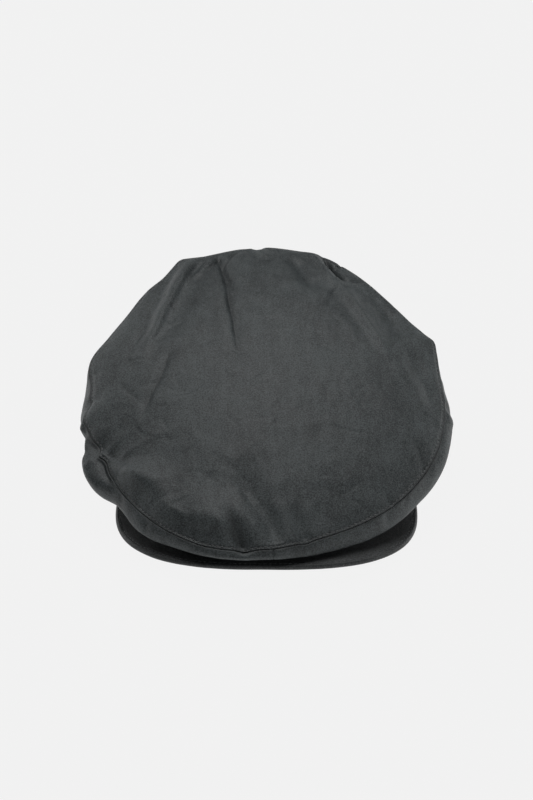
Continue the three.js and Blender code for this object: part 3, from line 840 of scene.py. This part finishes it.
def build_peak():
    """The stiff peak: cloth over a board, with a rounded edge and a stitched rim."""
    place = np.linspace(-1.0, 1.0, PEAK_COLUMNS)
    turn = place * PEAK_END_TURN
    root = placed(turn, hem_reach(turn) - WALL / 2.0, 0.0)[:, :2]
    edge_x, edge_y = peak_edge(place)
    edge = np.stack((edge_x, edge_y), axis=-1)
    run = edge - root
    length = np.linalg.norm(run, axis=-1)
    heading = run / length[:, None]
    nose = PEAK_THICKNESS / 2.0
    spread = math.radians(PEAK_ROW_SPREAD)
    spacing = np.sin(np.linspace(0.0, spread, PEAK_ROWS)) / math.sin(spread)
    flat = spacing[:, None] * (length - nose)[None, :]
    angle = np.linspace(0.0, math.pi, PEAK_NOSE_ROWS)[1:-1, None]
    nose_out = (length - nose)[None, :] + nose * np.sin(angle)
    out = np.concatenate((flat, nose_out, flat[::-1]))
    level = np.concatenate((np.ones(PEAK_ROWS), np.cos(angle[:, 0]), -np.ones(PEAK_ROWS)))[:, None]
    plan = root[None] + heading[None] * out[..., None]
    height = peak_top(plan[..., 0], plan[..., 1]) - nose + nose * level
    grid = np.concatenate((plan, height[..., None]), axis=-1)
    normal = normals_of(grid, False)
    away = length[None, :] - out
    detail = crumple(grid, PEAK_CRUMPLE_HEIGHT, PEAK_CRUMPLE_SIZE, PEAK_SEED)
    detail -= PEAK_STITCH_SINK * np.exp(-(((away - PEAK_STITCH_INSET) / PEAK_STITCH_GROOVE) ** 2))
    detail += PEAK_RIM_SWELL * rise(away, PEAK_RIM_START, PEAK_RIM_FULL)
    grid = grid + normal * detail[..., None]
    rows = grid.shape[0]
    cloth = np.stack((grid[..., 0], grid[..., 1]), axis=-1).reshape(-1, 2) * MM
    # The peak has no painted shade
    wear = np.zeros_like(cloth)
    quads = list(faces_of_grid(rows, PEAK_COLUMNS, False, 0, False))
    back = (rows - 1) * PEAK_COLUMNS
    for column in range(PEAK_COLUMNS - 1):
        quads.append(np.array((column + 1, back + column + 1, back + column, column)))
    for column, order in ((0, 1), (PEAK_COLUMNS - 1, -1)):
        for row in range(rows // 2 - 1):
            ring = [row, rows - 1 - row, rows - 2 - row, row + 1]
            ids = np.array([index * PEAK_COLUMNS + column for index in ring])
            quads.append(ids[::order])
    peak = mesh_object("peak_cloth", grid.reshape(-1, 3), quads, {"cloth": cloth, "wear": wear})
    upper = slice(0, PEAK_ROWS)
    return peak, (grid[upper], normals_of(grid, False)[upper], away[upper])


def row_at(away, distance):
    """For each column, the fractional row at a distance from a border."""
    rows = np.arange(away.shape[0], dtype=float)
    found = []
    for column in range(away.shape[1]):
        values = away[:, column]
        order = np.argsort(values)
        found.append(np.interp(distance, values[order], rows[order]))
    return np.array(found)


def along_grid(grid, row, column):
    """Points of a grid at fractional rows and columns."""
    rows, columns = grid.shape[:2]
    low_row = np.clip(np.floor(row).astype(int), 0, rows - 2)
    low_column = np.floor(column).astype(int)
    row_share = (row - low_row)[:, None]
    column_share = (column - low_column)[:, None]
    first = low_column % columns
    second = (low_column + 1) % columns
    upper = mix(grid[low_row, first], grid[low_row, second], column_share)
    lower = mix(grid[low_row + 1, first], grid[low_row + 1, second], column_share)
    return mix(upper, lower, row_share)


def stitches(name, path, normal, closed, radius):
    """One row of thread stitches along a path on the cloth, as one mesh."""
    if closed:
        path = np.concatenate((path, path[:1]))
        normal = np.concatenate((normal, normal[:1]))
    run = distances(path)
    count = int(run[-1] / STITCH_PITCH)
    pitch = run[-1] / count
    centres = (np.arange(count) + 0.5) * pitch
    rings = np.linspace(-1.0, 1.0, STITCH_RINGS)
    sides = np.radians(np.arange(STITCH_SIDES) * 360.0 / STITCH_SIDES)
    size = radius * np.sqrt(1.0 - STITCH_END_TAPER * rings**4)
    lift = radius * (STITCH_LIFT - STITCH_END_DROP * rings**4)
    points = []
    quads = []
    for centre in centres:
        places = centre + rings * STITCH_LENGTH / 2.0
        middle = np.stack([np.interp(places, run, path[:, axis]) for axis in range(3)], axis=-1)
        up = np.stack([np.interp(places, run, normal[:, axis]) for axis in range(3)], axis=-1)
        up /= np.linalg.norm(up, axis=-1, keepdims=True)
        forward = middle[-1] - middle[0]
        forward /= np.linalg.norm(forward)
        across = np.cross(up, forward)
        start = len(points) * STITCH_SIDES
        for ring in range(STITCH_RINGS):
            spokes = np.cos(sides)[:, None] * across[ring] + np.sin(sides)[:, None] * up[ring]
            points.append(middle[ring] + up[ring] * lift[ring] + size[ring] * spokes)
        for base in range(start, start + (STITCH_RINGS - 1) * STITCH_SIDES, STITCH_SIDES):
            after = base + STITCH_SIDES
            for side in range(STITCH_SIDES):
                ahead = (side + 1) % STITCH_SIDES
                quads.append((base + side, base + ahead, after + ahead, after + side))
        quads.append(tuple(start + side for side in reversed(range(STITCH_SIDES))))
        quads.append(tuple(after + side for side in range(STITCH_SIDES)))
    return mesh_object(name, np.concatenate(points), [np.array(quad) for quad in quads], {})


# Materials

def new_material(name):
    """A material, its node tree and its Principled shader."""
    material = bpy.data.materials.new(name)
    material.use_nodes = True
    tree = material.node_tree
    shader = tree.nodes["Principled BSDF"]
    return material, tree, shader


def add_node(tree, kind, inputs=None, **settings):
    """A node with settings on itself and values or links on its named inputs."""
    node = tree.nodes.new(kind)
    for key, value in settings.items():
        setattr(node, key, value)
    for key, value in (inputs or {}).items():
        socket = node.inputs[key]
        if isinstance(value, bpy.types.NodeSocket):
            tree.links.new(value, socket)
        else:
            socket.default_value = value
    return node


def math_node(tree, operation, first, second=0.0, third=0.0):
    """The result of a maths node on two or three values or links."""
    node = add_node(tree, "ShaderNodeMath", operation=operation)
    for socket, value in zip(node.inputs, (first, second, third)):
        if isinstance(value, bpy.types.NodeSocket):
            tree.links.new(value, socket)
        else:
            socket.default_value = value
    return node.outputs[0]


def ramp(tree, factor, low, high, low_colour, high_colour):
    """Two colours blended as a factor goes from low to high."""
    node = add_node(tree, "ShaderNodeValToRGB", {"Fac": factor})
    node.color_ramp.elements[0].position = low
    node.color_ramp.elements[0].color = (*low_colour, 1.0)
    node.color_ramp.elements[1].position = high
    node.color_ramp.elements[1].color = (*high_colour, 1.0)
    return node.outputs["Color"]


def noise_texture(tree, vector, size, detail, roughness, distortion=0.0):
    """The value of a noise whose features are about one size across, in metres."""
    inputs = {
        "Vector": vector,
        "Scale": 1.0 / size,
        "Detail": detail,
        "Roughness": roughness,
        "Distortion": distortion,
    }
    return add_node(tree, "ShaderNodeTexNoise", inputs).outputs["Fac"]


def bump(tree, height, strength, depth, normal=None):
    """Normals bent by a relief, on top of other bent normals where they are given."""
    inputs = {"Height": height, "Strength": strength, "Distance": depth}
    if normal:
        inputs["Normal"] = normal
    return add_node(tree, "ShaderNodeBump", inputs).outputs["Normal"]


def waxed_cloth(name, dark, light):
    """Waxed cotton: woven, mottled by its wax, with painted shade in its creases and along its seams."""
    material, tree, shader = new_material(name)
    place = add_node(tree, "ShaderNodeTexCoord").outputs["Object"]
    mottle = noise_texture(tree, place, **MOTTLE)
    mapping = {"Vector": place, "Rotation": (0.0, 0.0, STREAK_TURN), "Scale": STREAK_STRETCH}
    streak_space = add_node(tree, "ShaderNodeMapping", mapping).outputs["Vector"]
    streak = noise_texture(tree, streak_space, **STREAK)
    speckle = noise_texture(tree, place, **SPECKLE)
    blend = math_node(tree, "MULTIPLY", mottle, MOTTLE_SHARE)
    blend = math_node(tree, "MULTIPLY_ADD", streak, STREAK_SHARE, blend)
    blend = math_node(tree, "MULTIPLY_ADD", speckle, SPECKLE_SHARE, blend)
    colour = ramp(tree, blend, COLOUR_START, COLOUR_END, dark, light)
    # Painted shade: the colour is darkened in the creases and along the seams
    wear = add_node(tree, "ShaderNodeUVMap", uv_map="wear").outputs["UV"]
    painted_shade_parts = add_node(tree, "ShaderNodeSeparateXYZ", {"Vector": wear})
    shade = math_node(tree, "MULTIPLY_ADD", painted_shade_parts.outputs["X"], -CREASE_SHADE, 1.0)
    shade = math_node(tree, "MULTIPLY_ADD", painted_shade_parts.outputs["Y"], -SEAM_SHADE, shade)
    toned = add_node(tree, "ShaderNodeVectorMath", {0: colour, "Scale": shade}, operation="SCALE")
    tree.links.new(toned.outputs["Vector"], shader.inputs["Base Color"])
    smoothest = CLOTH_ROUGHNESS - ROUGHNESS_SPAN / 2.0
    rough = math_node(tree, "MULTIPLY_ADD", mottle, ROUGHNESS_SPAN, smoothest)
    tree.links.new(rough, shader.inputs["Roughness"])
    cloth = add_node(tree, "ShaderNodeUVMap", uv_map="cloth").outputs["UV"]
    threads = add_node(tree, "ShaderNodeSeparateXYZ", {"Vector": cloth})
    wave = 2.0 * math.pi / WEAVE_PITCH
    warp = math_node(tree, "SINE", math_node(tree, "MULTIPLY", threads.outputs["X"], wave))
    weft = math_node(tree, "SINE", math_node(tree, "MULTIPLY", threads.outputs["Y"], wave))
    weave = math_node(tree, "MULTIPLY", warp, weft)
    pebble = noise_texture(tree, place, **PEBBLE)
    relief = math_node(tree, "MULTIPLY_ADD", weave, WEAVE_SHARE, pebble)
    grain = bump(tree, relief, GRAIN_STRENGTH, GRAIN_DEPTH)
    wrinkle = noise_texture(tree, place, **WRINKLE)
    tree.links.new(bump(tree, wrinkle, WRINKLE_STRENGTH, WRINKLE_DEPTH, grain), shader.inputs["Normal"])
    return material


def thread_material():
    """Dark thread with a slight gloss."""
    material, tree, shader = new_material("thread")
    place = add_node(tree, "ShaderNodeTexCoord").outputs["Object"]
    twist = noise_texture(tree, place, **TWIST)
    colour = ramp(tree, twist, THREAD_COLOUR_START, THREAD_COLOUR_END, THREAD_DARK, THREAD_LIGHT)
    tree.links.new(colour, shader.inputs["Base Color"])
    shader.inputs["Roughness"].default_value = THREAD_ROUGHNESS
    return material


def floor_material():
    """A pale floor that stays even in tone."""
    material, _, shader = new_material("pale_floor")
    shader.inputs["Base Color"].default_value = (FLOOR_TONE, FLOOR_TONE, FLOOR_TONE, 1.0)
    shader.inputs["Roughness"].default_value = 1.0
    shader.inputs["Specular IOR Level"].default_value = 0.0
    shader.inputs["Emission Color"].default_value = (1.0, 1.0, 1.0, 1.0)
    shader.inputs["Emission Strength"].default_value = FLOOR_GLOW
    return material


def dress(piece, material, node):
    """Give a piece its material, let it ride on the cap and let it stand for its solid."""
    piece.data.materials.append(material)
    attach(piece, "root")
    if node:
        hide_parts(node)


def sew(name, surface, inset, margin, radius, thread):
    """A row of stitches on a surface, at an inset from its border and a margin short of its sides.

    A surface is a grid, its normals and its distances from the border. Without a margin the row closes.
    """
    grid, normal, away = surface
    last = grid.shape[1] - margin
    columns = np.arange(margin, last, dtype=float)
    rows = row_at(away, inset)[margin:last]
    path = along_grid(grid, rows, columns)
    up = along_grid(normal, rows, columns)
    dress(stitches(name, path, up, margin == 0, radius), thread, None)


def build_cap():
    """All the pieces of the cap."""
    crown_cloth = waxed_cloth("crown_cloth", CLOTH_DARK, CLOTH_LIGHT)
    side_cloth = waxed_cloth("side_cloth", CLOTH_DARK, CLOTH_LIGHT)
    peak_cloth = waxed_cloth("peak_cloth", PEAK_DARK, PEAK_LIGHT)
    thread = thread_material()

    top, surface = build_top()
    dress(top, crown_cloth, "crown_top")
    sew("top_seam_stitches", surface, STITCH_INSET, 0, STITCH_RADIUS, thread)

    gap = JOIN_GAP_TURN
    halves = (
        ("side_right", FRONT_SEAM_TURN + gap, BACK_SEAM_TURN - gap, SIDE_RIGHT_SEED),
        ("side_left", BACK_SEAM_TURN + gap, 360.0 + FRONT_SEAM_TURN - gap, SIDE_LEFT_SEED),
    )
    for node, start_turn, end_turn, seed in halves:
        side, surface = build_side(node + "_cloth", start_turn, end_turn, seed)
        dress(side, side_cloth, node)
        name = node + "_hem_stitches"
        sew(name, surface, HEM_STITCH_INSET, HEM_STITCH_MARGIN, STITCH_RADIUS, thread)

    peak, surface = build_peak()
    dress(peak, peak_cloth, "peak")
    name = "peak_rim_stitches"
    sew(name, surface, PEAK_STITCH_INSET, PEAK_STITCH_MARGIN, PEAK_STITCH_RADIUS, thread)


# Stage

def add_light(name, place, width, height, power):
    """A soft white rectangular light at a place in metres that faces the cap."""
    data = bpy.data.lights.new(name, "AREA")
    data.shape = "RECTANGLE"
    data.size = width
    data.size_y = height
    data.energy = power
    lamp = bpy.data.objects.new(name, data)
    lamp.location = place
    heading = mathutils.Vector(LIGHT_TARGET) - mathutils.Vector(place)
    lamp.rotation_euler = heading.to_track_quat("-Z", "Y").to_euler()
    lamp.visible_camera = False
    bpy.context.collection.objects.link(lamp)


def build_stage():
    """Floor, lights, surroundings and camera."""
    floor_mesh = bpy.data.meshes.new("floor")
    corners = [(x * FLOOR_HALF, y * FLOOR_HALF, 0.0) for x, y in ((-1, -1), (1, -1), (1, 1), (-1, 1))]
    floor_mesh.from_pydata(corners, [], [(0, 1, 2, 3)])
    floor = bpy.data.objects.new("floor", floor_mesh)
    floor.data.materials.append(floor_material())
    bpy.context.collection.objects.link(floor)

    world = bpy.data.worlds.new("studio")
    world.use_nodes = True
    background = world.node_tree.nodes["Background"]
    background.inputs["Color"].default_value = (1.0, 1.0, 1.0, 1.0)
    background.inputs["Strength"].default_value = SURROUND_STRENGTH
    bpy.context.scene.world = world

    for row in LIGHTS:
        add_light(*row)

    data = bpy.data.cameras.new("camera")
    data.lens = LENS
    data.sensor_width = SENSOR
    data.dof.use_dof = False
    camera = bpy.data.objects.new("camera", data)
    elevation = math.radians(VIEW_ELEVATION)
    target = mathutils.Vector(VIEW_TARGET)
    back = mathutils.Vector((0.0, -math.cos(elevation), math.sin(elevation)))
    place = target + back * VIEW_DISTANCE
    look = target + mathutils.Vector((0.0, math.sin(elevation), math.cos(elevation))) * VIEW_DROP
    camera.location = place * MM
    camera.rotation_euler = (look - place).to_track_quat("-Z", "Y").to_euler()
    bpy.context.collection.objects.link(camera)
    bpy.context.scene.camera = camera
    bpy.context.scene.view_settings.view_transform = "Standard"


build_cap()
build_stage()
